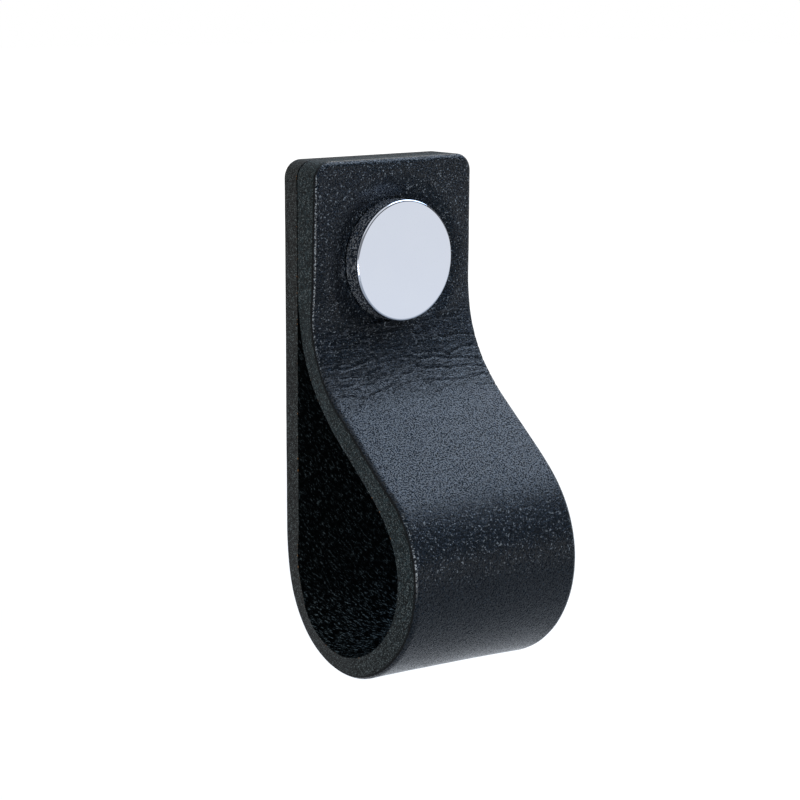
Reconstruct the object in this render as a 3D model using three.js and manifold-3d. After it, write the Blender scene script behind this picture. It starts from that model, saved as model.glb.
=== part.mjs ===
// Loop handle for a cabinet or drawer. A wide strip of thick black leather is folded back on itself
// into an open loop. Its two ends lie one on the other, and a chromed knob with a machine screw from
// behind clamps them to the furniture.
// Millimetres, +Z up, X across the strap, the knob's face towards -Y. The origin is where the screw's
// axis crosses the back face, which lies on the furniture.
import * as THREE from "three";
import { mergeVertices } from "three/addons/utils/BufferGeometryUtils.js";
import Module from "manifold-3d";

const wasm = await Module();
wasm.setup();

// Leather strap
const STRAP_WIDTH = 30;
const LEATHER = 3.4; // thickness of the hide
const LAYER_GAP = 0.1; // left between the two layers where they are clamped
const EDGE_RADIUS = 0.7; // burnished edges
const CORNER_RADIUS = 3.5; // the four corners of the strip, seen from the front
const END_TIGHTENING = 0.7; // share by which the edges' rounding tightens at the strip's very ends
const TOP_ABOVE_SCREW = 14.8;
const BEND_BELOW_SCREW = 42.6; // the back layer hangs straight down to here
const HEEL_RADIUS = 21.7; // radii are to the middle of the leather
const HEEL_TURN = 24.5; // turns are in degrees
const SOLE_RADIUS = 12;
const SOLE_TURN = 83;
const TOE_RADIUS = 15.6;
const SLANT = 48.8; // how far the upper run of the loop leans from upright
const RETURN_RADIUS = 21; // the opposite bend that lays the front layer on the back one
const GRIP_BELOW_SCREW = 4; // from here up the front layer swells out of the knob's grip
const SWELL = 1; // how much thicker its free end is than the clamped hide

// Knob
const KNOB_DIAMETER = 18;
const KNOB_THICKNESS = 3; // of the disc
const KNOB_CHAMFER = 0.35;
const PRESSED_IN = 0.7; // how deep the disc sinks into the leather
const SEAT_CLEARANCE = 0.3; // round the disc, in its dimple
const DIMPLE_SLOPE = 40; // degrees, of the dimple's rim from the knob's axis
const BOSS_DIAMETER = 7;
const BOSS_SHORT_OF_BACK = 0.6; // so that the disc clamps the leather before the boss meets the furniture
const HOLE_CLEARANCE = 0.3; // round the boss, in the punched holes
const FACE_WALL = 1.6; // metal left between the tapped hole and the knob's face

// Machine screw
const SCREW_DIAMETER = 4;
const THREAD_CLEARANCE = 0.3; // all round the screw, where the thread isn't drawn
const SCREW_LENGTH = 16; // under the head
const PANEL = 10; // thickness of the furniture front that the screw passes through
const HEAD_DIAMETER = 7;
const HEAD_HEIGHT = 2.6;
const HEAD_CHAMFER = 0.4;
const TIP_CHAMFER = 0.6;
const RECESS_SPAN = 4.2; // the cross in the head
const RECESS_WIDTH = 1;
const RECESS_DEPTH = 1.4;

// Fineness of the curved faces
const BEND_STEP = 5; // degrees of bend from one section of the strap to the next
const EDGE_STEPS = 4; // along each rounded edge of the section
const END_STEPS = 12; // along each rounded corner of the strip
const SWELL_STEPS = 6; // up the swelling end
const TURNED_SIDES = 96;

// Places that several pieces share, along Y
const FRONT_FACE = -(2 * LEATHER + LAYER_GAP);
const SEAT_FACE = FRONT_FACE + PRESSED_IN;
const KNOB_FACE = SEAT_FACE - KNOB_THICKNESS;

const rad = THREE.MathUtils.degToRad;

// Solids for cutting and joining

function solidOf(geometry) {
  const bare = geometry.index ? geometry.toNonIndexed() : geometry.clone();
  bare.deleteAttribute("normal");
  bare.deleteAttribute("uv");
  const merged = mergeVertices(bare, 1e-4);
  const mesh = new wasm.Mesh({
    numProp: 3,
    vertProperties: merged.attributes.position.array,
    triVerts: new Uint32Array(merged.index.array),
  });
  return new wasm.Manifold(mesh);
}

function geometryOf(solid) {
  const mesh = solid.getMesh();
  const geometry = new THREE.BufferGeometry();
  geometry.setAttribute("position", new THREE.BufferAttribute(mesh.vertProperties, 3));
  geometry.setIndex(new THREE.BufferAttribute(mesh.triVerts, 1));
  const faceted = geometry.toNonIndexed();
  faceted.computeVertexNormals();
  return faceted;
}

// A body turned about the Y axis, from its profile as [radius, y] pairs that run towards +Y on the outside.
function turned(profile) {
  const points = profile.map(([radius, y]) => new THREE.Vector2(radius, y));
  return new THREE.LatheGeometry(points, TURNED_SIDES);
}

// The strap's route in the YZ plane

// Straight runs and bends, each going on smoothly from the last. A heading of 0 is towards +Y and a
// quarter turn is upwards; a positive turn is towards the left of the heading.
class Route {
  constructor(y, z, heading) {
    this.path = new THREE.CurvePath();
    this.at = new THREE.Vector2(y, z);
    this.heading = heading;
    this.stations = [0];
  }

  along(length) {
    return new THREE.Vector2(Math.cos(this.heading), Math.sin(this.heading)).multiplyScalar(length);
  }

  straight(length, steps = 1) {
    const end = this.at.clone().add(this.along(length));
    this.path.add(new THREE.LineCurve(this.at, end));
    this.at = end;
    this.mark(length, steps);
    return this;
  }

  bend(radius, degrees) {
    const turn = rad(degrees);
    const side = Math.sign(turn) * Math.PI / 2;
    const toCentre = this.heading + side;
    const centre = this.at.clone();
    centre.x += radius * Math.cos(toCentre);
    centre.y += radius * Math.sin(toCentre);
    const from = toCentre + Math.PI;
    this.path.add(new THREE.EllipseCurve(
      centre.x, centre.y, radius, radius, from, from + turn, turn < 0,
    ));
    this.heading += turn;
    const out = this.heading - side;
    this.at = new THREE.Vector2(
      centre.x + radius * Math.cos(out),
      centre.y + radius * Math.sin(out),
    );
    this.mark(radius * Math.abs(turn), Math.ceil(Math.abs(degrees) / BEND_STEP));
    return this;
  }

  // Notes where along the route the strap gets its sections.
  mark(length, steps) {
    const begun = this.stations.at(-1);
    for (let i = 1; i <= steps; i++) this.stations.push(begun + length * i / steps);
  }
}

function strapRoute() {
  const route = new Route(-LEATHER / 2, TOP_ABOVE_SCREW, -Math.PI / 2);
  route.straight(TOP_ABOVE_SCREW + BEND_BELOW_SCREW);
  route.bend(HEEL_RADIUS, -HEEL_TURN);
  route.bend(SOLE_RADIUS, -SOLE_TURN);
  route.bend(TOE_RADIUS, -(180 + SLANT - HEEL_TURN - SOLE_TURN));

  // The slanted run is as long as brings the front layer onto the back one.
  const frontLayer = -(1.5 * LEATHER + LAYER_GAP);
  const left = frontLayer - route.at.x - RETURN_RADIUS * (1 - Math.cos(rad(SLANT)));
  route.straight(left / Math.cos(route.heading));
  route.bend(RETURN_RADIUS, SLANT);

  // Both ends finish at one height.
  route.straight(-GRIP_BELOW_SCREW - route.at.y);
  route.straight(TOP_ABOVE_SCREW + GRIP_BELOW_SCREW, SWELL_STEPS);
  return route;
}

// Leather strap

// How far a quarter round of this radius stands back at a distance from the edge that it rounds.
function roundedOff(radius, distance) {
  const short = Math.max(0, radius - distance);
  return radius - Math.sqrt(radius * radius - short * short);
}

// How much the front layer has swollen at a station, outwards only.
function swellAt(s, length) {
  const swelling = TOP_ABOVE_SCREW + GRIP_BELOW_SCREW;
  return SWELL * (Math.max(0, s - (length - swelling)) / swelling) ** 2;
}

// One section of the strap, as points round it: [across the strap, out of the loop].
function section(fromEnd, swell) {
  const inset = roundedOff(EDGE_RADIUS, fromEnd);
  const halfWidth = STRAP_WIDTH / 2 - roundedOff(CORNER_RADIUS, fromEnd) - inset;
  const halfThickness = LEATHER / 2 - inset;
  const round = EDGE_RADIUS - END_TIGHTENING * inset;
  const points = [];
  for (const [side, face, quarter] of [[1, 1, 0], [-1, 1, 1], [-1, -1, 2], [1, -1, 3]]) {
    for (let i = 0; i <= EDGE_STEPS; i++) {
      const angle = (quarter + i / EDGE_STEPS) * Math.PI / 2;
      points.push([
        side * (halfWidth - round) + round * Math.cos(angle),
        face * (halfThickness - round) + round * Math.sin(angle) + (face > 0 ? swell : 0),
      ]);
    }
  }
  return points;
}

function stripGeometry() {
  const route = strapRoute();
  const length = route.stations.at(-1);
  const nearEnd = [];
  for (let i = 0; i <= END_STEPS; i++) {
    nearEnd.push(CORNER_RADIUS * (1 - Math.cos(i / END_STEPS * Math.PI / 2)));
  }
  const between = route.stations.filter((s) => s > CORNER_RADIUS && s < length - CORNER_RADIUS);
  const stations = [...nearEnd, ...between, ...nearEnd.map((s) => length - s).reverse()];

  const corners = [];
  for (const s of stations) {
    const at = route.path.getPoint(s / length);
    const ahead = route.path.getTangent(s / length);
    for (const [across, out] of section(Math.min(s, length - s), swellAt(s, length))) {
      corners.push(across, at.x - ahead.y * out, at.y + ahead.x * out);
    }
  }

  const round = section(0, 0).length;
  const faces = [];
  for (let i = 0; i + 1 < stations.length; i++) {
    for (let j = 0; j < round; j++) {
      const a = i * round + j;
      const b = i * round + (j + 1) % round;
      faces.push(a, a + round, b, b, a + round, b + round);
    }
  }
  const last = (stations.length - 1) * round;
  for (let j = 1; j + 1 < round; j++) {
    faces.push(0, j, j + 1);
    faces.push(last, last + j + 1, last + j);
  }
  const geometry = new THREE.BufferGeometry();
  geometry.setAttribute("position", new THREE.Float32BufferAttribute(corners, 3));
  geometry.setIndex(faces);
  return geometry;
}

// The dimple that the disc presses, open towards -Y, and the punched holes behind it.
function knobSeatCutter() {
  const hole = BOSS_DIAMETER / 2 + HOLE_CLEARANCE;
  const seat = KNOB_DIAMETER / 2 + SEAT_CLEARANCE;
  const rim = seat + KNOB_THICKNESS * Math.tan(rad(DIMPLE_SLOPE));
  return turned([
    [0, KNOB_FACE],
    [rim, KNOB_FACE],
    [seat, SEAT_FACE],
    [hole, SEAT_FACE],
    [hole, LEATHER],
    [0, LEATHER],
  ]);
}

function strapGeometry() {
  return geometryOf(solidOf(stripGeometry()).subtract(solidOf(knobSeatCutter())));
}

// Knob: a disc with a boss behind it that is tapped for the screw

function knobGeometry() {
  const disc = KNOB_DIAMETER / 2;
  const boss = BOSS_DIAMETER / 2;
  const tapped = SCREW_DIAMETER / 2 + THREAD_CLEARANCE;
  const bossEnd = -BOSS_SHORT_OF_BACK;
  return turned([
    [0, KNOB_FACE],
    [disc - KNOB_CHAMFER, KNOB_FACE],
    [disc, KNOB_FACE + KNOB_CHAMFER],
    [disc, SEAT_FACE - KNOB_CHAMFER],
    [disc - KNOB_CHAMFER, SEAT_FACE],
    [boss, SEAT_FACE],
    [boss, bossEnd - KNOB_CHAMFER],
    [boss - KNOB_CHAMFER, bossEnd],
    [tapped, bossEnd],
    [tapped, KNOB_FACE + FACE_WALL],
    [0, KNOB_FACE + FACE_WALL],
  ]);
}

// Machine screw: a cheese head with a cross recess, behind the furniture front

function screwGeometry() {
  const shank = SCREW_DIAMETER / 2;
  const head = HEAD_DIAMETER / 2;
  const tip = PANEL - SCREW_LENGTH;
  const top = PANEL + HEAD_HEIGHT;
  const blank = turned([
    [0, tip],
    [shank - TIP_CHAMFER, tip],
    [shank, tip + TIP_CHAMFER],
    [shank, PANEL],
    [head, PANEL],
    [head, top - HEAD_CHAMFER],
    [head - HEAD_CHAMFER, top],
    [0, top],
  ]);
  let screw = solidOf(blank);
  for (const [x, z] of [[RECESS_SPAN, RECESS_WIDTH], [RECESS_WIDTH, RECESS_SPAN]]) {
    const slot = new THREE.BoxGeometry(x, 2 * RECESS_DEPTH, z).translate(0, top, 0);
    screw = screw.subtract(solidOf(slot));
  }
  return geometryOf(screw);
}

// The handle

function piece(name, geometry, material) {
  const mesh = new THREE.Mesh(geometry, material);
  mesh.name = name;
  return mesh;
}

const blackLeather = new THREE.MeshStandardMaterial({ color: 0x17191d, roughness: 0.55, metalness: 0 });
const polishedChrome = new THREE.MeshStandardMaterial({ color: 0xd4d8e2, roughness: 0.08, metalness: 1 });
const zincPlatedSteel = new THREE.MeshStandardMaterial({ color: 0xa9adb0, roughness: 0.32, metalness: 1 });

const handle = new THREE.Group();
handle.add(
  piece("leather_strap", strapGeometry(), blackLeather),
  piece("knob", knobGeometry(), polishedChrome),
  piece("fixing_screw", screwGeometry(), zincPlatedSteel),
);

export default handle;
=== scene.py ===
"""Looks of a leather loop handle for a cabinet or drawer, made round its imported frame.

A strip of thick black leather is folded back on itself into an open loop and clamped by a chromed knob
with a machine screw from behind. Metres, +Z up, X across the strap, the knob's face towards -Y.
"""
import math

import bpy
import numpy as np
from mathutils import Matrix, Vector


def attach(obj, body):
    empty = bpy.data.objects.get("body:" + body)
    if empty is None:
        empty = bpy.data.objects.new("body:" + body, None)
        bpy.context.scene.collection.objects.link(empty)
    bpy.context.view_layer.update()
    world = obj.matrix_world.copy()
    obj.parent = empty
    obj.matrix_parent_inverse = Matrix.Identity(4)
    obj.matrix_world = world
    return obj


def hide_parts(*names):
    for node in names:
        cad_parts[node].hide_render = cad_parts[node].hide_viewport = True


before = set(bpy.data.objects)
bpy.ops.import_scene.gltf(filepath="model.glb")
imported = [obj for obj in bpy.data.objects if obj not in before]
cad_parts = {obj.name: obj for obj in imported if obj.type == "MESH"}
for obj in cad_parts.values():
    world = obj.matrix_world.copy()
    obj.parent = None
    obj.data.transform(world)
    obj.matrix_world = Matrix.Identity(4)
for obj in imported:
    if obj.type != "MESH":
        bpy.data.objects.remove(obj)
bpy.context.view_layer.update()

MM = 0.001

# Leather strap: sizes that the frame's solid has too
STRAP_WIDTH = 30 * MM
LEATHER = 3.4 * MM
LAYER_GAP = 0.1 * MM
TOP_ABOVE_SCREW = 14.8 * MM
BEND_BELOW_SCREW = 42.6 * MM
HEEL_RADIUS = 21.7 * MM
HEEL_TURN = 24.5
SOLE_RADIUS = 12 * MM
SOLE_TURN = 83
TOE_RADIUS = 15.6 * MM
SLANT = 48.8
RETURN_RADIUS = 21 * MM
SWELL = 1 * MM

# Leather strap: what only its fine surface has
HALF_WIDTH = STRAP_WIDTH / 2
CORNER_RADIUS = 2.7 * MM
GRAIN_EDGE_RADIUS = 0.75 * MM
FLESH_EDGE_RADIUS = 0.06 * MM
CUT_FULL = 0.14 * MM  # how far each long edge stands out past the nominal width
KNOB_OFF_MIDDLE = 0.47 * MM
STRAP_RAISED = 0.2 * MM
SWELLS_BELOW_SCREW = 20 * MM
SWELL_CURVE = 1.3
SWELL_IN_MIDDLE = 0.65  # of the swell, which is full at the left edge
BEND_EASING = 1.4 * MM  # how far each bend runs out into the next stretch
SIDEWAYS_SHARE = 0.2  # of the stretch that a bend gives, taken from the hide's width
EDGE_FLARE = 0.15 * MM  # how far the edges stand out at the tightest bends
FLARE_BEND = 14 * MM  # the bend at which they do
FLARE_LIMITS = (-0.25, 1.2)
FLARE_CURVE = 3

# The loop is a little skew: by these at its right edge, and by as much the other way at its left
RIGHT_EDGE_HANGS = 0.46 * MM
RIGHT_SOLE_WIDER = 0.38 * MM
RIGHT_TOE_WIDER = 0.45 * MM
RIGHT_SLANT_MORE = 0.35

# Knob, and the dimple that it presses
KNOB_DIAMETER = 18 * MM
KNOB_THICKNESS = 3 * MM
KNOB_ROUNDING = 0.32 * MM
PRESSED_IN = 0.7 * MM
SEAT_CLEARANCE = 0.2 * MM
DIMPLE_REACH = 1.9 * MM
DIMPLE_CURVE = 1.5
BULGE = 0.28 * MM  # the ring of leather that stands up round the dimple
BULGE_AT = 3.3 * MM
BULGE_WIDTH = 1.8 * MM
BOSS_DIAMETER = 7 * MM
BOSS_SHORT_OF_BACK = 0.6 * MM
HOLE_CLEARANCE = 0.3 * MM
FACE_WALL = 1.6 * MM
PUNCHED_FROM = 2 * MM  # in front of the strap
PUNCHED_TO = 1 * MM  # behind it

# Machine screw
SCREW_DIAMETER = 4 * MM
SCREW_LENGTH = 16 * MM
PANEL = 10 * MM
SCREW_TIP = PANEL - SCREW_LENGTH
THREAD_CLEARANCE = 0.3 * MM
THREAD_PITCH = 0.7 * MM
THREAD_DEPTH = 0.43 * MM
THREAD_STEEPNESS = 1.35
THREAD_ROOT_FLAT = 0.1
TIP_TAPER = 0.6 * MM
HEAD_DIAMETER = 7 * MM
HEAD_HEIGHT = 2.6 * MM
HEAD_ROUNDING = 0.4 * MM
HEAD_SEAT_ROUNDING = 0.1 * MM
RECESS_SPAN = 4.2 * MM
RECESS_WIDTH = 1 * MM
RECESS_DEPTH = 1.4 * MM
RECESS_CUT_FROM = 0.2 * MM  # above the head, where the wings are wider by the share below
RECESS_TOP_SHARE = 1.06
RECESS_BOTTOM_SHARE = 0.45

# Places along Y
FRONT_FACE = -(2 * LEATHER + LAYER_GAP)
SEAT_FACE = FRONT_FACE + PRESSED_IN
KNOB_FACE = SEAT_FACE - KNOB_THICKNESS

# Zones along the flat hide, in mm from the end that lies at the back: where each sets in or fades
WRINKLES_BEGIN = (131, 136)
WRINKLES_END = (144, 151)
FRONT_BEGINS = (134, 146)
# Where the painted glints on the toe set in and fade
TOE_GLINTS_BEGIN = (102, 107)
TOE_GLINTS_END = (110, 116)
# Where the suede's painted highlights grow and fade
NAP_HIGHLIGHTS_BEGIN = (62, 76)
NAP_HIGHLIGHTS_END = (90, 104)
COOL_EDGE_BEGINS = (70, 110)

# Where across the hide, in mm, the painted glints along its rounded edge begin and end
RIM_GLINTS_FROM = (14.58, 14.68)
RIM_GLINTS_TO = (14.78, 14.86)


# Shader writing

class Wire:
    """A socket's value in a shader. Sums and products of wires and numbers add the nodes for them."""

    def __init__(self, look, socket):
        self.look = look
        self.socket = socket

    def math(self, operation, *values):
        vector = any(isinstance(v, Wire) and v.socket.type in ("VECTOR", "RGBA") for v in values)
        kind = "VectorMath" if vector else "Math"
        if vector:
            values = [v if isinstance(v, Wire) or hasattr(v, "__len__") else (v, v, v) for v in values]
        return self.look.node(kind, {"operation": operation}, dict(enumerate(values)))

    def __add__(self, other):
        return self.math("ADD", self, other)

    def __radd__(self, other):
        return self.math("ADD", other, self)

    def __sub__(self, other):
        return self.math("SUBTRACT", self, other)

    def __rsub__(self, other):
        return self.math("SUBTRACT", other, self)

    def __mul__(self, other):
        return self.math("MULTIPLY", self, other)

    def __rmul__(self, other):
        return self.math("MULTIPLY", other, self)

    def __abs__(self):
        return self.math("ABSOLUTE", self)

    def most(self, other):
        return self.math("MAXIMUM", self, other)

    def over(self, low, high):
        """0 where the value is at low, 1 where it is at high, with a smooth step between."""
        inputs = {"Value": self, "From Min": low, "From Max": high}
        return self.look.node("MapRange", {"interpolation_type": "SMOOTHSTEP"}, inputs)

    def between(self, rise, fall):
        """1 between a smooth step up and a smooth step down, 0 outside them."""
        return self.over(*rise) * (1 - self.over(*fall))

    def near(self, value, reach):
        """1 where this is the value, falling smoothly to 0 at a reach from it."""
        return 1 - abs(self - value).over(0.0, reach)


class Look:
    """The node tree of a material or of the world."""

    def __init__(self, owner):
        owner.use_nodes = True
        self.tree = owner.node_tree
        self.tree.nodes.clear()

    def node(self, kind, settings=None, inputs=None, out=None):
        made = self.tree.nodes.new("ShaderNode" + kind)
        for name, value in (settings or {}).items():
            setattr(made, name, value)
        for name, value in (inputs or {}).items():
            if isinstance(value, Wire):
                self.tree.links.new(value.socket, made.inputs[name])
            else:
                made.inputs[name].default_value = value
        if isinstance(out, str):
            return Wire(self, made.outputs[out])
        return Wire(self, next((s for s in made.outputs if s.enabled), None))

    def blend(self, factor, first, second):
        """A colour between two colours, as RGB triples or wires."""
        first, second = [c if isinstance(c, Wire) else (*c, 1) for c in (first, second)]
        inputs = {"Factor": factor, 6: first, 7: second}
        return self.node("Mix", {"data_type": "RGBA"}, inputs)

    def noise(self, place, scale, detail, rough=0.5):
        inputs = {"Vector": place, "Scale": scale, "Detail": detail, "Roughness": rough}
        return self.node("TexNoise", None, inputs)

    def bump(self, height, distance):
        return self.node("Bump", None, {"Height": height, "Distance": distance, "Strength": 1})

    def split(self, vector, axes):
        """The named axes of a vector."""
        return [self.node("SeparateXYZ", None, {"Vector": vector}, out=axis) for axis in axes]

    def hide_place(self):
        """Where on the flat hide a point lies, in millimetres: across, along and through it."""
        return self.node("Attribute", {"attribute_name": "hide"}, out="Vector")

    def surface(self, **inputs):
        """Ends the tree with a Principled shader. A word with two parts is joined by an underscore."""
        named = {name.replace("_", " "): value for name, value in inputs.items()}
        shader = self.node("BsdfPrincipled", None, named)
        self.node("OutputMaterial", None, {"Surface": shader})


def colour(r, g, b):
    return (r, g, b, 1)


def material(name, write):
    made = bpy.data.materials.new(name)
    write(Look(made))
    return made


# Leather

def grained_leather(look):
    """The outside of the hide: a small, dense grain under a thin finish that thins out in its pits."""
    place = look.hide_place()
    across, along = look.split(place, "XY")
    stir = look.node("TexNoise", None, {"Vector": place, "Scale": 1.3, "Detail": 1}, out="Color")
    cells = look.node(
        "TexVoronoi", {"feature": "SMOOTH_F1"},
        {"Vector": place + (stir - 0.5) * 0.5, "Scale": 2.8, "Randomness": 0.95, "Smoothness": 0.2},
    )
    grain = look.noise(place, 3.8, 1)
    tops = (grain - cells * 0.35).over(0.25, 0.42)
    line, lips = crease_lines(look, place, stir, grain)

    # Painted glints show most where the toe turns into the slant, and on the front from its creases up
    front = along.over(*FRONT_BEGINS)
    glint_zone = along.between(TOE_GLINTS_BEGIN, TOE_GLINTS_END).most(front)

    # The finish thins out in fine pits; pale flecks on the keenest tips and pale spots along the edges are
    # painted glints
    finish = look.noise(place, 4.6, 1).over(0.41, 0.56)
    glint_flecks = look.noise(place + 40, 3.3, 2, 0.6).over(0.595, 0.69) * (0.1 + glint_zone * 0.9)
    edge = abs(across).between(RIM_GLINTS_FROM, RIM_GLINTS_TO)
    painted_rim_glints = edge * glint_zone * look.noise(place, 4.4, 1).over(0.5, 0.64)

    base = look.blend(look.noise(place, 0.18, 3), (0.0014, 0.002, 0.003), (0.0026, 0.0036, 0.005))
    # Painted shade darkens the crease bottoms; a painted highlight makes the lips of the short creases pale
    base = look.blend(line, base, (0.0006, 0.0007, 0.0009))
    base = look.blend(lips * 0.8, base, (0.068, 0.075, 0.088))
    # Painted glints: pale flecks over the grain and pale spots along the rounded edges
    base = look.blend(glint_flecks, base, (0.18, 0.20, 0.22))
    base = look.blend(painted_rim_glints, base, (0.30, 0.33, 0.36))
    look.surface(
        Base_Color=base,
        Roughness=0.24 - tops * 0.08 + line * 0.4,
        IOR=1.4,
        Specular_IOR_Level=0.19,
        Specular_Tint=colour(0.36, 0.64, 1.0),
        Coat_Weight=finish * (1 - line) * (0.69 - front * 0.14),
        Coat_Roughness=0.28,
        Coat_IOR=1.4,
        Normal=look.bump(grain + glint_flecks * 0.2 - cells * 0.45 - line * 0.8, 0.27 * MM),
    )


def crease_lines(look, place, stir, grain):
    """The bottoms of the creases, which get painted shade, and the lips of the short ones, which get a pale
    painted highlight.

    The long creases come from the mesh, the short ones between them from stretched noise.
    """
    along, = look.split(place, "Y")
    past_long = look.node("Attribute", {"attribute_name": "crease"}, out="Fac")
    long = 1 - (abs(past_long) + (grain - 0.5) * 0.14).over(0.0, 0.09)
    folds = look.noise((place + (stir - 0.5) * 0.3) * (0.14, 1, 1), 1.9, 2, 0.6)
    broken = look.noise(place * (1, 1.5, 1), 0.9, 2).over(0.3, 0.5)
    wrinkled = along.between(WRINKLES_BEGIN, WRINKLES_END)
    short = folds.near(0.5, 0.06) * broken * wrinkled
    lips = folds.near(0.565, 0.035) * broken * wrinkled
    return long.most(short * 0.9), lips


def cut_edge(look):
    """The strap's cut sides, stained, rubbed and a little fibrous, with a dark rim along the grain."""
    place = look.hide_place()
    along, depth = look.split(place, "YZ")
    fibres = look.noise(place * (1, 0.45, 1.3), 5.5, 3, 0.7)
    specks = look.noise(place, 6.5, 1)
    cool = along.over(*COOL_EDGE_BEGINS)
    dark = look.blend(cool, (0.004, 0.004, 0.004), (0.0025, 0.0035, 0.004))
    light = look.blend(cool, (0.058, 0.061, 0.060), (0.038, 0.060, 0.068))
    base = look.blend(fibres.over(0.42, 0.72), dark, light)
    base = look.blend(specks.over(0.56, 0.7) * 0.75, base, (0.16, 0.19, 0.195))

    # A few undyed fibres show along the flesh side
    raw = look.noise(place, 2.2, 2).over(0.66, 0.7) * (1 - depth.over(-1.64, -1.45))
    base = look.blend(raw, base, (0.42, 0.19, 0.05))
    base = look.blend(depth.over(0.95, 1.25) * 0.9, base, (0.002, 0.002, 0.0025))
    look.surface(
        Base_Color=base,
        Roughness=0.65,
        IOR=1.4,
        Specular_IOR_Level=0.15,
        Normal=look.bump(fibres + specks * 0.6, 0.12 * MM),
    )


def suede(look):
    """The flesh side of the hide, inside the loop: a short black nap whose pale strokes are painted
    highlights, most of them towards the bottom.
    """
    place = look.hide_place()
    along, = look.split(place, "Y")
    slanted = look.node("VectorRotate", {"rotation_type": "Z_AXIS"}, {"Vector": place, "Angle": 0.7})
    strokes = look.noise(slanted * (1, 0.3, 1), 3.0, 3, 0.65)
    nap = look.noise(slanted * (1, 0.6, 1), 5.5, 2, 0.6)
    highlight_share = 0.45 + 1.2 * along.between(NAP_HIGHLIGHTS_BEGIN, NAP_HIGHLIGHTS_END)
    # Pale strokes of the nap are painted highlights, more of them towards the bottom
    lit = strokes.over(0.47, 0.7) * nap.over(0.42, 0.66) * highlight_share
    look.surface(
        Base_Color=look.blend(lit, (0.0012, 0.0016, 0.0018), (0.125, 0.165, 0.18)),
        Roughness=0.9,
        Specular_IOR_Level=0.0,
        Normal=look.bump(strokes + nap * 0.5, 0.3 * MM),
    )


# Metal

def polished_chrome(look):
    """Chrome, polished on the face and the rim and fine-grained on the side, whose pale matte specks are
    painted reflections of the leather's glints.
    """
    coordinates = look.node("TexCoord", out="Object")
    y, = look.split(coordinates, "Y")
    rim = KNOB_FACE + KNOB_ROUNDING
    side = y.over(rim + 0.1 * MM, rim + 0.3 * MM)
    haze = look.noise(coordinates, 260, 3)
    roughcast = look.noise(coordinates, 3400, 1)
    # Pale matte specks in the side's grain are painted reflections of the leather's glints; the roughness
    # and bump are real grain
    grain = side * roughcast.over(0.48, 0.62)
    polished = look.blend(haze, (0.57, 0.61, 0.70), (0.59, 0.63, 0.71))
    look.surface(
        Base_Color=look.blend(grain, polished, (0.36, 0.38, 0.41)),
        Metallic=1 - grain * 0.5,
        Roughness=0.035 + haze * 0.03 + side * 0.1 + grain * 0.3,
        Normal=look.bump(side * roughcast, 0.05 * MM),
    )


def zinc_plated_steel(look):
    coordinates = look.node("TexCoord", out="Object")
    mottle = look.noise(coordinates, 900, 4, 0.6)
    look.surface(
        Base_Color=look.blend(mottle, (0.50, 0.52, 0.53), (0.68, 0.69, 0.70)),
        Metallic=1.0,
        Roughness=0.22 + mottle * 0.2,
        Normal=look.bump(mottle, 0.01 * MM),
    )


# Curves and seeded noise

class Lattice:
    """Smooth noise over a plane, about -1 to 1, from random slopes on a square lattice."""

    SIZE = 256

    def __init__(self, seed):
        angles = np.random.default_rng(seed).uniform(0, 2 * np.pi, (self.SIZE, self.SIZE))
        self.slopes = np.stack([np.cos(angles), np.sin(angles)], -1)

    def at(self, u, v):
        u, v = np.broadcast_arrays(u, v)
        cell_u, cell_v = np.floor(u).astype(int), np.floor(v).astype(int)
        in_u, in_v = u - cell_u, v - cell_v
        ease_u, ease_v = [t * t * t * (t * (6 * t - 15) + 10) for t in (in_u, in_v)]
        rows = []
        for dv in (0, 1):
            corner = []
            for du in (0, 1):
                slope = self.slopes[(cell_u + du) % self.SIZE, (cell_v + dv) % self.SIZE]
                corner.append(slope[..., 0] * (in_u - du) + slope[..., 1] * (in_v - dv))
            rows.append(corner[0] * (1 - ease_u) + corner[1] * ease_u)
        return 1.5 * (rows[0] * (1 - ease_v) + rows[1] * ease_v)


def smooth_step(value, low, high):
    t = np.clip((value - low) / (high - low), 0, 1)
    return t * t * (3 - 2 * t)


def rounded_off(radius, distance):
    """How far a quarter round stands back at a distance from the edge that it rounds."""
    short = np.maximum(0, radius - distance)
    return radius - np.sqrt(radius * radius - short * short)


def table_at(table, places):
    """A table's rows at places between its rows."""
    below = np.minimum(places.astype(int), len(table) - 2)
    share = (places - below)[:, None]
    return table[below] * (1 - share) + table[below + 1] * share


# The strap's middle surface

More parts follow.
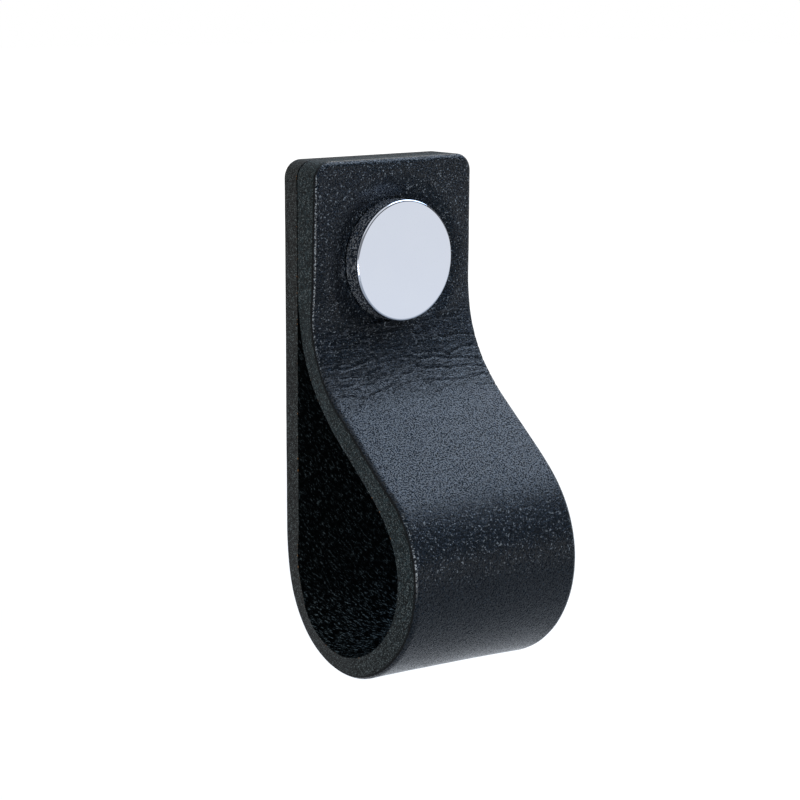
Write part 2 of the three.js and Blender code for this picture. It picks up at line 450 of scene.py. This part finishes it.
class Route:
    """The strap's middle line in the YZ plane, at many places across the strap at once."""

    STEP = 0.1 * MM

    def __init__(self, y, z, heading, across):
        self.at = np.stack([np.full_like(across, y), np.full_like(across, z)])
        self.heading = np.full_like(across, heading)
        self.rows = [self.at[None]]

    def parts(self, length):
        steps = max(1, round(float(np.mean(length)) / self.STEP))
        return np.arange(1, steps + 1)[:, None] / steps

    def straight(self, length):
        ahead = np.stack([np.cos(self.heading), np.sin(self.heading)])
        self.rows.append(self.at + ahead * (self.parts(length) * length)[:, None, :])
        self.at = self.rows[-1][-1]

    def bend(self, radius, degrees):
        turn = np.radians(degrees)
        side = np.sign(turn)
        from_centre = self.heading - side * np.pi / 2
        centre = self.at - radius * np.stack([np.cos(from_centre), np.sin(from_centre)])
        angles = from_centre + self.parts(radius * abs(turn)) * turn
        self.rows.append(centre + radius * np.stack([np.cos(angles), np.sin(angles)], 1))
        self.heading = self.heading + turn
        self.at = self.rows[-1][-1]

    def row_count(self):
        return sum(len(part) for part in self.rows)

    def eased(self):
        """All the rows, with each bend running out smoothly into the next stretch."""
        rows = np.concatenate(self.rows)
        reach = round(3 * BEND_EASING / self.STEP)
        offsets = np.arange(-reach, reach + 1)
        weights = np.exp(-0.5 * (offsets * self.STEP / BEND_EASING) ** 2)
        weights /= weights.sum()
        rows[reach:len(rows) - reach] = sum(
            weight * rows[reach + offset:len(rows) - reach + offset]
            for offset, weight in zip(offsets, weights)
        )
        return rows


def strap_route(across):
    """The strap's middle line for places across it, and the rows where the return bend starts and ends."""
    skew = across / HALF_WIDTH
    slant = SLANT + skew * RIGHT_SLANT_MORE
    route = Route(-LEATHER / 2, TOP_ABOVE_SCREW, -np.pi / 2, across)
    route.straight(TOP_ABOVE_SCREW + BEND_BELOW_SCREW + skew * RIGHT_EDGE_HANGS)
    route.bend(HEEL_RADIUS, -HEEL_TURN * np.ones_like(skew))
    route.bend(SOLE_RADIUS + skew * RIGHT_SOLE_WIDER, -SOLE_TURN * np.ones_like(skew))
    route.bend(TOE_RADIUS + skew * RIGHT_TOE_WIDER, -(180 + slant - HEEL_TURN - SOLE_TURN))

    # The slanted run is as long as brings the front layer onto the back one
    front_layer = -(1.5 * LEATHER + LAYER_GAP)
    left = front_layer - route.at[0] - RETURN_RADIUS * (1 - np.cos(np.radians(slant)))
    route.straight(left / np.cos(route.heading))
    start = route.row_count()
    route.bend(RETURN_RADIUS, slant)
    end = route.row_count()
    route.straight(TOP_ABOVE_SCREW - route.at[1])
    return route.eased(), start, end


# The strap's fine surface: how many points it has

FACE_COLUMNS = 86
ROUND_COLUMNS = 5
GRAIN_FROM_COLUMN = 2  # of the outer face, which starts at the cut edge's dark rim
SIDE_ROWS = 6
END_ROWS = 7
CORNER_ROWS = 9

# The points of one ring round the section: the outer face, the left wall, the inner face, the right wall
FACE_POINTS = FACE_COLUMNS + 1 + 2 * ROUND_COLUMNS
WALL_POINTS = SIDE_ROWS - 1
RING_POINTS = 2 * (FACE_POINTS + WALL_POINTS)
OUTER = slice(0, FACE_POINTS)
LEFT_WALL = slice(FACE_POINTS, FACE_POINTS + WALL_POINTS)
INNER = slice(FACE_POINTS + WALL_POINTS, RING_POINTS - WALL_POINTS)
RIGHT_WALL = slice(RING_POINTS - WALL_POINTS, RING_POINTS)

# Spacing of the rings along the strap
BACK_STEP = 0.9 * MM
BEND_STEP = 0.5 * MM
SLANT_STEP = 0.4 * MM
CREASE_STEP = 0.16 * MM
FRONT_STEP = 0.4 * MM

# Where the spacing changes: before the heel, and before and after the start of the return bend
BENDS_BEFORE_HEEL = 2 * MM
SLANT_BEFORE_RETURN = 17 * MM
CREASES_BEFORE_RETURN = 1 * MM
CREASES_AFTER_RETURN = 14 * MM
DIMPLE_BEFORE_RETURN_END = 4 * MM  # only the front layer from here up is pressed in by the knob

# The hide's depth where the walls meet the rounded edges
WALL_TOP = LEATHER / 2 - GRAIN_EDGE_RADIUS
WALL_BOTTOM = -LEATHER / 2 + FLESH_EDGE_RADIUS

# The strap's three materials, in the order of their slots
GRAINED, CUT, FLESH = range(3)


def face_columns(edge_radius):
    """Places across one face, from +X to -X, closest together in the rounded edges."""
    quarter = np.arange(ROUND_COLUMNS) / ROUND_COLUMNS * np.pi / 2
    rounded = HALF_WIDTH - edge_radius * (1 - np.cos(quarter)) * (1 - 1e-9)
    flat = np.linspace(1, -1, FACE_COLUMNS + 1) * (HALF_WIDTH - edge_radius)
    return np.concatenate([rounded, flat, -rounded[::-1]])


def section_across():
    """Places across the strap of all the points of a ring."""
    outer = face_columns(GRAIN_EDGE_RADIUS)
    inner = face_columns(FLESH_EDGE_RADIUS)[::-1]
    wall = np.full(WALL_POINTS, HALF_WIDTH)
    return np.concatenate([outer, -wall, inner, wall])


def ring_stations(length, return_start):
    """Distances from the strap's beginning at which it gets its rings."""
    near_end = [GRAIN_EDGE_RADIUS * (1 - math.cos(i / END_ROWS * math.pi / 2)) for i in range(END_ROWS + 1)]
    corner_first = near_end[-1]
    for i in range(1, CORNER_ROWS + 1):
        share = 1 - math.cos(i / CORNER_ROWS * math.pi / 2)
        near_end.append(corner_first + (CORNER_RADIUS - corner_first) * share)
    stretches = [
        (CORNER_RADIUS, BACK_STEP),
        (TOP_ABOVE_SCREW + BEND_BELOW_SCREW - BENDS_BEFORE_HEEL, BEND_STEP),
        (return_start - SLANT_BEFORE_RETURN, SLANT_STEP),
        (return_start - CREASES_BEFORE_RETURN, CREASE_STEP),
        (return_start + CREASES_AFTER_RETURN, FRONT_STEP),
        (length - CORNER_RADIUS, None),
    ]
    stations = list(near_end)
    for (low, step), (high, _) in zip(stretches, stretches[1:]):
        count = max(1, round((high - low) / step))
        stations += [low + (high - low) * i / count for i in range(1, count + 1)]
    stations += [length - s for s in near_end[-2::-1]]
    return np.array(stations)


def strip_outline(across, from_end):
    """Where across the round-cornered strip each column lies, and how far in from its outline."""
    half = HALF_WIDTH - rounded_off(CORNER_RADIUS, from_end)
    lateral = across * half / HALF_WIDTH
    in_corner = (np.abs(lateral) > HALF_WIDTH - CORNER_RADIUS) & (from_end < CORNER_RADIUS)
    to_corner = np.hypot(np.abs(lateral) - (HALF_WIDTH - CORNER_RADIUS), CORNER_RADIUS - from_end)
    to_side = np.minimum(HALF_WIDTH - np.abs(lateral), from_end)
    inset = np.maximum(0, np.where(in_corner, CORNER_RADIUS - to_corner, to_side))
    return lateral, inset


def depth_in_hide(inset):
    """How far each point lies out of the middle of the hide, whose edges are rounded on both faces."""
    wall = WALL_TOP + (WALL_BOTTOM - WALL_TOP) * np.arange(1, SIDE_ROWS) / SIDE_ROWS
    depth = np.empty_like(inset)
    depth[:, OUTER] = LEATHER / 2 - rounded_off(GRAIN_EDGE_RADIUS, inset[:, OUTER])
    depth[:, LEFT_WALL] = wall
    depth[:, INNER] = -LEATHER / 2 + rounded_off(FLESH_EDGE_RADIUS, inset[:, INNER])
    depth[:, RIGHT_WALL] = wall[::-1]
    return depth


def swell_at(lateral, from_free_end):
    """How much the leather over the knob has swollen, most at its free end."""
    swelling = TOP_ABOVE_SCREW + SWELLS_BELOW_SCREW
    grown = (np.maximum(0, swelling - from_free_end) / swelling) ** SWELL_CURVE
    return SWELL * grown * (SWELL_IN_MIDDLE - (1 - SWELL_IN_MIDDLE) * lateral / HALF_WIDTH)


def knob_dimple(lateral, z, swell):
    """How far the outer face of the front layer is pressed in round the knob."""
    from_rim = np.hypot(lateral, z) - (KNOB_DIAMETER / 2 + SEAT_CLEARANCE)
    pressed = np.exp(-(np.maximum(0, from_rim) / DIMPLE_REACH) ** DIMPLE_CURVE)
    raised = np.exp(-((from_rim - BULGE_AT) / BULGE_WIDTH) ** 2) * (1 - pressed)
    return (PRESSED_IN + swell) * pressed - BULGE * raised


def hand_made(lateral, along):
    """Slight unevenness of a hand-cut, folded hide."""
    u, v = lateral / MM, along / MM
    return (0.05 * Lattice(21).at(u * 0.08, v * 0.07) + 0.012 * Lattice(22).at(u * 0.5, v * 0.5)) * MM


# The long creases: places across the strap and distances past the start of the return bend, in mm
CREASES = (
    ((-13.6, 2.8), (-11.5, 2.7), (-9.5, 1.9), (-7.0, 2.5), (-4.3, 2.8), (-2.8, 3.6), (-1.4, 4.4),
     (1.0, 5.2), (1.8, 5.6), (3.7, 5.3), (5.7, 4.8), (7.9, 4.5), (11.1, 4.3), (12.2, 3.9), (14.6, 3.6)),
    ((0.8, 2.2), (2.0, 2.7), (3.2, 3.0), (5.2, 2.6), (7.0, 2.4), (8.7, 2.2), (9.8, 2.4), (14.6, 2.2)),
    ((-0.5, 7.8), (1.6, 7.5), (3.4, 6.8), (5.1, 6.7), (8.8, 6.3), (12.5, 5.7), (15.0, 5.1)),
    ((0.9, 8.7), (3.3, 8.0), (5.6, 7.8), (7.5, 7.3), (8.7, 6.9), (9.8, 7.2), (10.8, 7.8), (15.0, 7.4)),
    ((2.2, 11.3), (4.1, 10.9), (6.8, 10.1), (8.3, 9.8), (10.6, 10.0), (15.0, 9.4)),
    ((-12.3, 6.2), (-10.1, 6.0), (-7.9, 5.6), (-6.9, 6.0), (-4.5, 6.2)),
    ((-13.4, 7.7), (-12.3, 7.5), (-10.3, 7.3), (-8.6, 7.6), (-5.8, 8.1), (-3.2, 8.5)),
    ((-7.4, 4.7), (-6.2, 5.4), (-5.5, 5.8)),
    ((-11.2, 0.7), (-10.2, 1.2), (-9.1, 2.0)),
    ((2.9, 0.8), (4.0, 0.9), (5.5, 1.6)),
    ((11.3, 0.6), (13.2, 0.6), (14.8, 0.2)),
    ((-12.5, 10.7), (-9.7, 10.6), (-7.1, 11.1)),
    ((-8.8, 3.7), (-7.6, 4.1), (-6.9, 3.9)),
    ((-13.0, 4.7), (-11.6, 4.4), (-10.7, 4.5)),
)
CREASE_LIMIT = 3.0  # the greatest distance from a crease that is told apart, in mm
GROOVE_DEPTH = 0.11 * MM
GROOVE_REACH = 0.24  # these two reaches in mm
LIP_HEIGHT = 0.06 * MM
LIP_REACH = 0.8


def past_crease(lateral, past_return_start):
    """Distance to the nearest long crease in mm, negative before it. Each crease strays a little."""
    u, v = lateral / MM, past_return_start / MM
    u = u + 0.35 * Lattice(3).at(u * 0.5, v * 0.5) + 0.15 * Lattice(8).at(u * 1.9, v * 1.9)
    v = v + 0.35 * Lattice(4).at(u * 0.6, v * 0.4) + 0.2 * Lattice(5).at(u * 1.5, v * 1.3)
    nearest = np.full(u.shape, CREASE_LIMIT)
    past = nearest.copy()
    for points in CREASES:
        for (u0, v0), (u1, v1) in zip(points, points[1:]):
            length2 = (u1 - u0) ** 2 + (v1 - v0) ** 2
            share = np.clip(((u - u0) * (u1 - u0) + (v - v0) * (v1 - v0)) / length2, 0, 1)
            du, dv = u - u0 - share * (u1 - u0), v - v0 - share * (v1 - v0)
            distance = np.hypot(du, dv)
            past = np.where(distance < nearest, np.where(dv < 0, -distance, distance), past)
            nearest = np.minimum(nearest, distance)
    return past


def crease_height(crease):
    """The creases' shape in the outer face: a groove between soft lips."""
    groove = np.exp(-(crease / GROOVE_REACH) ** 2)
    lips = np.exp(-(crease / LIP_REACH) ** 2)
    return LIP_HEIGHT * lips - GROOVE_DEPTH * groove


def leather_strap():
    """The strap as one closed body, with its places on the flat hide and its creases as attributes."""
    across = section_across()
    rows, return_start, return_end = strap_route(across)
    nominal = rows[:, :, FACE_POINTS // 2]
    row_step = float(np.mean(np.linalg.norm(np.diff(nominal, axis=0), axis=1)))
    length = row_step * (len(rows) - 1)
    return_start, return_end = return_start * row_step, return_end * row_step
    stations = ring_stations(length, return_start)
    along = stations[:, None]

    # Place, heading and bend of the middle line at every ring and column
    ahead = np.gradient(rows, axis=0)
    heading = np.unwrap(np.arctan2(ahead[:, 1], ahead[:, 0]), axis=0)
    bend = np.gradient(heading, axis=0) / np.linalg.norm(ahead, axis=1)
    middle_y, middle_z, heading, bend = [
        table_at(table, stations / row_step) for table in (rows[:, 0], rows[:, 1], heading, bend)
    ]
    middle_z = middle_z + STRAP_RAISED

    # How far out of the middle line each point lies
    lateral, inset = strip_outline(across, np.minimum(along, length - along))
    depth = depth_in_hide(inset)
    crease = past_crease(lateral, along - return_start)
    outerness = smooth_step(depth, 0, WALL_TOP)
    swell = swell_at(lateral, length - along)
    on_front = along > return_end - DIMPLE_BEFORE_RETURN_END
    flare = EDGE_FLARE * np.clip(-bend * FLARE_BEND, *FLARE_LIMITS)
    out = depth + swell * smooth_step(depth, WALL_BOTTOM, WALL_TOP)
    out = out - knob_dimple(lateral, middle_z, swell) * outerness * on_front
    out = out + flare * np.abs(lateral / HALF_WIDTH) ** FLARE_CURVE
    out = out + crease_height(crease) * outerness
    out = out + hand_made(lateral, along)

    x = lateral * (1 + CUT_FULL / HALF_WIDTH + SIDEWAYS_SHARE * bend * depth) - KNOB_OFF_MIDDLE
    y = middle_y - np.sin(heading) * out
    z = middle_z + np.cos(heading) * out
    rings = np.stack([x, y, z], -1)
    hide = np.stack(np.broadcast_arrays(lateral, along, depth), -1) / MM
    return strap_object(rings, hide, crease)


def strap_object(rings, hide, crease):
    """Joins the rings to a closed mesh with an end face at each end."""
    count = len(rings)
    vertices, places, creases = [rings.reshape(-1, 3)], [hide.reshape(-1, 3)], [crease.reshape(-1)]
    index = np.arange(count * RING_POINTS).reshape(count, RING_POINTS)
    a, b = index[:-1], index[1:]
    quads = [np.stack([a, b, np.roll(b, -1, 1), np.roll(a, -1, 1)], -1).reshape(-1, 4)]
    kind = np.full(RING_POINTS, CUT)
    kind[GRAIN_FROM_COLUMN:FACE_POINTS - 1 - GRAIN_FROM_COLUMN] = GRAINED
    kind[INNER.start:INNER.stop - 1] = FLESH
    kinds = [np.tile(kind, count - 1)]

    used = index.size
    for ring, flip in ((0, False), (count - 1, True)):
        grid, added = end_grid(index[ring], used)
        used += added
        vertices.append(end_values(rings[ring]))
        places.append(end_values(hide[ring]))
        creases.append(np.full(added, CREASE_LIMIT))
        faces = np.stack([grid[:-1, :-1], grid[:-1, 1:], grid[1:, 1:], grid[1:, :-1]], -1).reshape(-1, 4)
        quads.append(faces[:, ::-1] if flip else faces)
        kinds.append(np.full(len(faces), CUT))

    mesh = bpy.data.meshes.new("leather_strap_fine")
    mesh.from_pydata(np.concatenate(vertices), [], np.concatenate(quads))
    hide_places = mesh.attributes.new("hide", "FLOAT_VECTOR", "POINT")
    hide_places.data.foreach_set("vector", np.concatenate(places).astype(np.float32).ravel())
    crease_places = mesh.attributes.new("crease", "FLOAT", "POINT")
    crease_places.data.foreach_set("value", np.concatenate(creases).astype(np.float32))
    mesh.polygons.foreach_set("material_index", np.concatenate(kinds).astype(np.int32))
    mesh.shade_smooth()
    strap = bpy.data.objects.new("strap", mesh)
    bpy.context.scene.collection.objects.link(strap)
    mesh.materials.append(material("grained leather", grained_leather))
    mesh.materials.append(material("cut edge", cut_edge))
    mesh.materials.append(material("suede", suede))
    return strap


def end_grid(ring, first_new):
    """An end face's vertex numbers, from the outer face's edge to the inner one's, and how many are new."""
    inside = WALL_POINTS * (FACE_POINTS - 2)
    grid = np.empty((SIDE_ROWS + 1, FACE_POINTS), int)
    grid[0] = ring[OUTER]
    grid[-1] = ring[INNER][::-1]
    grid[1:-1, -1] = ring[LEFT_WALL]
    grid[1:-1, 0] = ring[RIGHT_WALL][::-1]
    grid[1:-1, 1:-1] = first_new + np.arange(inside).reshape(WALL_POINTS, FACE_POINTS - 2)
    return grid, inside


def end_values(ring):
    """Values inside an end face, evenly between those at its outer and its inner edge."""
    shares = (np.arange(1, SIDE_ROWS) / SIDE_ROWS)[:, None, None]
    first, last = ring[OUTER][1:-1], ring[INNER][::-1][1:-1]
    return (first * (1 - shares) + last * shares).reshape(-1, 3)


# Turned and cut metal

TURNED_SIDES = 192
PUNCH_SIDES = 96
SCREW_SIDES = 64
ROWS_PER_TURN = 12  # of the screw's thread


def mesh_object(name, vertices, faces, finish):
    mesh = bpy.data.meshes.new(name)
    mesh.from_pydata(vertices, [], faces)
    mesh.materials.append(finish)
    mesh.shade_smooth()
    made = bpy.data.objects.new(name, mesh)
    bpy.context.scene.collection.objects.link(made)
    return made


def round_body(name, rings, finish):
    """A closed body round the Y axis from rings as (y, radii). A ring with one radius is a point."""
    vertices, faces, numbers = [], [], []
    for y, radii in rings:
        numbers.append(range(len(vertices), len(vertices) + len(radii)))
        for k, r in enumerate(radii):
            angle = k / len(radii) * 2 * math.pi
            vertices.append((r * math.sin(angle), y, r * math.cos(angle)))
    for low, high in zip(numbers, numbers[1:]):
        sides = max(len(low), len(high))
        for i in range(sides):
            j = (i + 1) % sides
            corners = [low[i % len(low)], low[j % len(low)], high[j % len(high)], high[i % len(high)]]
            faces.append(tuple(dict.fromkeys(corners)))
    return mesh_object(name, vertices, faces, finish)


def turned(name, profile, finish, sides):
    """A body from (radius, y) points that run towards +Y on the outside and close on the axis."""
    rings = [(y, [r] * (sides if r else 1)) for r, y in profile]
    return round_body(name, rings, finish)


def arc(centre_r, centre_y, radius, start, end, steps=8):
    """Points (radius, y) on a round edge, its angles in degrees from the turning axis' outward direction."""
    angles = np.radians(np.linspace(start, end, steps + 1))
    return [(centre_r + radius * math.cos(t), centre_y + radius * math.sin(t)) for t in angles]


def cut_away(piece, cutters):
    """Cuts the cutters out of the piece's mesh and removes them."""
    for cutter in cutters:
        modifier = piece.modifiers.new("cut", "BOOLEAN")
        modifier.operation = "DIFFERENCE"
        modifier.solver = "EXACT"
        modifier.object = cutter
        graph = bpy.context.evaluated_depsgraph_get()
        mesh = bpy.data.meshes.new_from_object(
            piece.evaluated_get(graph), preserve_all_data_layers=True, depsgraph=graph,
        )
        piece.modifiers.clear()
        piece.data = mesh
        bpy.data.objects.remove(cutter)


def punch(finish):
    """What the boss' hole takes out of both layers of the strap."""
    hole = BOSS_DIAMETER / 2 + HOLE_CLEARANCE
    front, back = FRONT_FACE - PUNCHED_FROM, PUNCHED_TO
    return turned("punch", [(0, front), (hole, front), (hole, back), (0, back)], finish, PUNCH_SIDES)


def knob(finish):
    """A disc with rounded rims and a tapped boss behind it."""
    disc, boss = KNOB_DIAMETER / 2, BOSS_DIAMETER / 2
    tapped = SCREW_DIAMETER / 2 + THREAD_CLEARANCE
    r, end = KNOB_ROUNDING, -BOSS_SHORT_OF_BACK
    profile = [(0, KNOB_FACE)]
    profile += [(disc * share, KNOB_FACE) for share in (0.5, 0.8, 0.95)]
    profile += arc(disc - r, KNOB_FACE + r, r, -90, 0)
    profile += arc(disc - r, SEAT_FACE - r, r, 0, 90)
    profile += [(boss, SEAT_FACE), (boss, end - r)]
    profile += arc(boss - r, end - r, r, 0, 90)
    profile += [(tapped, end), (tapped, KNOB_FACE + FACE_WALL), (0, KNOB_FACE + FACE_WALL)]
    return turned("chromed_knob", profile, finish, TURNED_SIDES)


def thread_radius(y, turn):
    """The shank's radius at a share of a turn, with a tapered tip and a thread that runs out at the head."""
    shank = SCREW_DIAMETER / 2
    wave = (y / THREAD_PITCH - turn) % 1
    crest = min(1, max(0, THREAD_STEEPNESS * (1 - abs(2 * wave - 1)) - THREAD_ROOT_FLAT))
    run_out = min(1, max(0, (PANEL - y) / THREAD_PITCH))
    taper = TIP_TAPER * max(0, 1 - (y - SCREW_TIP) / TIP_TAPER)
    return min(shank - THREAD_DEPTH * (1 - crest) * run_out, shank - taper)


def screw(finish):
    """A cheese-head machine screw with its thread cut."""
    count = round((PANEL - SCREW_TIP) / THREAD_PITCH * ROWS_PER_TURN)
    rings = [(SCREW_TIP, [0])]
    for i in range(count + 1):
        y = SCREW_TIP + (PANEL - SCREW_TIP) * i / count
        rings.append((y, [thread_radius(y, k / SCREW_SIDES) for k in range(SCREW_SIDES)]))
    head, top = HEAD_DIAMETER / 2, PANEL + HEAD_HEIGHT
    low, high = HEAD_SEAT_ROUNDING, HEAD_ROUNDING
    profile = arc(head - low, PANEL + low, low, -90, 0, 3)
    profile += arc(head - high, top - high, high, 0, 90)
    rings += [(y, [r] * SCREW_SIDES) for r, y in profile]
    rings.append((top, [0]))
    made = round_body("threaded_screw", rings, finish)
    cut_away(made, recess_wings(top, finish))
    return made


def recess_wings(top, finish):
    """Two crossed wedges, wide at the head's face and narrow at the bottom of the recess."""
    sides = [(i, (i + 1) % 4, (i + 1) % 4 + 4, i + 4) for i in range(4)]
    levels = ((top + RECESS_CUT_FROM, RECESS_TOP_SHARE), (top - RECESS_DEPTH, RECESS_BOTTOM_SHARE))
    wings = []
    for crosswise in (False, True):
        vertices = []
        for y, share in levels:
            for u, v in ((-1, -1), (1, -1), (1, 1), (-1, 1)):
                x = u * (RECESS_SPAN / 2) * share
                z = v * (RECESS_WIDTH / 2) * (0.5 + 0.5 * share)
                vertices.append((z, y, -x) if crosswise else (x, y, z))
        wings.append(mesh_object("recess_wing", vertices, [(3, 2, 1, 0), (4, 5, 6, 7), *sides], finish))
    return wings


# The camera stands where the photograph was taken from

VIEW_AZIMUTH = math.radians(-39.82)
VIEW_ELEVATION = math.radians(11.16)
VIEW_ROLL = math.radians(0.212)
VIEW_DISTANCE = 0.3217
VIEW_AIM = Vector((0.006740, 0.0001, -0.023162))
VIEW_LENS = 93.58


def add_camera():
    azimuth, elevation, roll = VIEW_AZIMUTH, VIEW_ELEVATION, VIEW_ROLL
    sideways = Vector((math.sin(azimuth), -math.cos(azimuth), 0))
    back = sideways * math.cos(elevation) + Vector((0, 0, math.sin(elevation)))
    level = Vector((math.cos(azimuth), math.sin(azimuth), 0))
    upright = back.cross(level)
    right = math.cos(roll) * level + math.sin(roll) * upright
    up = -math.sin(roll) * level + math.cos(roll) * upright
    data = bpy.data.cameras.new("camera")
    data.lens = VIEW_LENS
    data.sensor_width = 36
    data.clip_start = 0.01
    camera = bpy.data.objects.new("camera", data)
    turned_to = Matrix((right, up, back)).transposed().to_4x4()
    camera.matrix_world = Matrix.Translation(VIEW_AIM + VIEW_DISTANCE * back) @ turned_to
    bpy.context.scene.collection.objects.link(camera)
    bpy.context.scene.camera = camera


# Studio

FLOOR_Z = -0.16
FLOOR_HALF = 6


def studio():
    corners = [(x * FLOOR_HALF, y * FLOOR_HALF, FLOOR_Z) for x, y in ((-1, -1), (1, -1), (1, 1), (-1, 1))]
    floor = mesh_object("floor", corners, [(0, 1, 2, 3)], material("floor", pale_floor))
    world = bpy.data.worlds.new("studio")
    bpy.context.scene.world = world
    write_world(Look(world))
    softbox(
        "key softbox", direction=(0.61, -0.10, 0.76), distance=0.65, size=0.58,
        radiance=4.3, tint=(0.61, 0.77, 1.0),
    )
    softbox(
        "front lamp", direction=(-0.64, -0.745, -0.17), distance=0.45, size=0.10,
        radiance=22.0, tint=(0.95, 0.98, 1.0),
    )


def softbox(name, direction, distance, size, radiance, tint):
    """A square lamp in a direction from the middle of the handle."""
    data = bpy.data.lights.new(name, "AREA")
    data.shape = "RECTANGLE"
    data.size = size
    data.size_y = size
    data.energy = radiance * math.pi * size * size
    data.color = tint
    lamp = bpy.data.objects.new(name, data)
    away = Vector(direction).normalized()
    lamp.location = VIEW_AIM + away * distance
    lamp.rotation_mode = "QUATERNION"
    lamp.rotation_quaternion = away.to_track_quat("Z", "Y")
    bpy.context.scene.collection.objects.link(lamp)


def seen_directly(look):
    """1 for what the camera, a mirror or glass shows, 0 for what only lights the object."""
    seen = [look.node("LightPath", out="Is " + ray + " Ray") for ray in ("Camera", "Glossy", "Transmission")]
    return seen[0].most(seen[1]).most(seen[2])


def pale_floor(look):
    """A pale floor that the camera sees as white, and that mirrors see darker near the object and in a patch
    to its right: painted shade in its glow.
    """
    place = look.node("TexCoord", out="Object")
    x, y = look.split(place, "XY")
    from_object = look.node("VectorMath", {"operation": "LENGTH"}, {0: place}, out="Value")
    far = from_object.over(0.3, 1.1)
    # Painted shade in the floor's glow for mirrors: near the object and in a patch to its right
    right = x.over(0.5, 0.8) * y.between((-0.6, -0.3), (0.0, 0.2))
    mirrored = from_object.over(0.4, 0.95).most(y.over(-0.1, 0.2)) * (1 - right * 0.8)
    camera = look.node("LightPath", out="Is Camera Ray")
    strength = (camera * (0.6 + 0.3 * far)).most(seen_directly(look) * mirrored * (0.5 + 0.35 * far))
    diffuse = look.node("BsdfDiffuse", None, {"Color": colour(0.5, 0.5, 0.5)})
    glow = look.node("Emission", None, {"Color": colour(1, 1, 1), "Strength": strength})
    both = look.node("AddShader", None, {0: diffuse, 1: glow})
    look.node("OutputMaterial", None, {"Surface": both})


def write_world(look):
    """A white backdrop, which lights the object at half its brightness.

    Mirrors also show the dimmer room in front, where the camera stands, and a grey flag under the softbox.
    """
    direction = look.node("TexCoord", out="Generated")
    x, y, z = look.split(direction, "XYZ")
    room = z.between((-0.02, 0.04), (0.5, 0.65)) * (1 - y.over(-0.2, 0.3))
    flag = z.between((0.04, 0.1), (0.42, 0.5)) * x.over(0.1, 0.3) * (1 - y.over(0.2, 0.4))
    shown = 1 - room * 0.7 - flag * 0.27
    camera = look.node("LightPath", out="Is Camera Ray")
    strength = camera + (1 - camera) * (0.5 + seen_directly(look) * (shown - 0.5))
    shade = look.node("Background", None, {"Color": colour(1, 1, 1), "Strength": strength})
    look.node("OutputWorld", None, {"Surface": shade})


add_camera()

strap = leather_strap()
cut_away(strap, [punch(strap.data.materials[CUT])])
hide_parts("leather_strap")
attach(strap, "root")

chrome = material("polished chrome", polished_chrome)
bright_knob = knob(chrome)
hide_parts("knob")
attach(bright_knob, "root")

zinc = material("zinc plated steel", zinc_plated_steel)
machine_screw = screw(zinc)
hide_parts("fixing_screw")
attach(machine_screw, "root")

studio()
bpy.context.scene.view_settings.view_transform = "Standard"

bpy.context.view_layer.update()
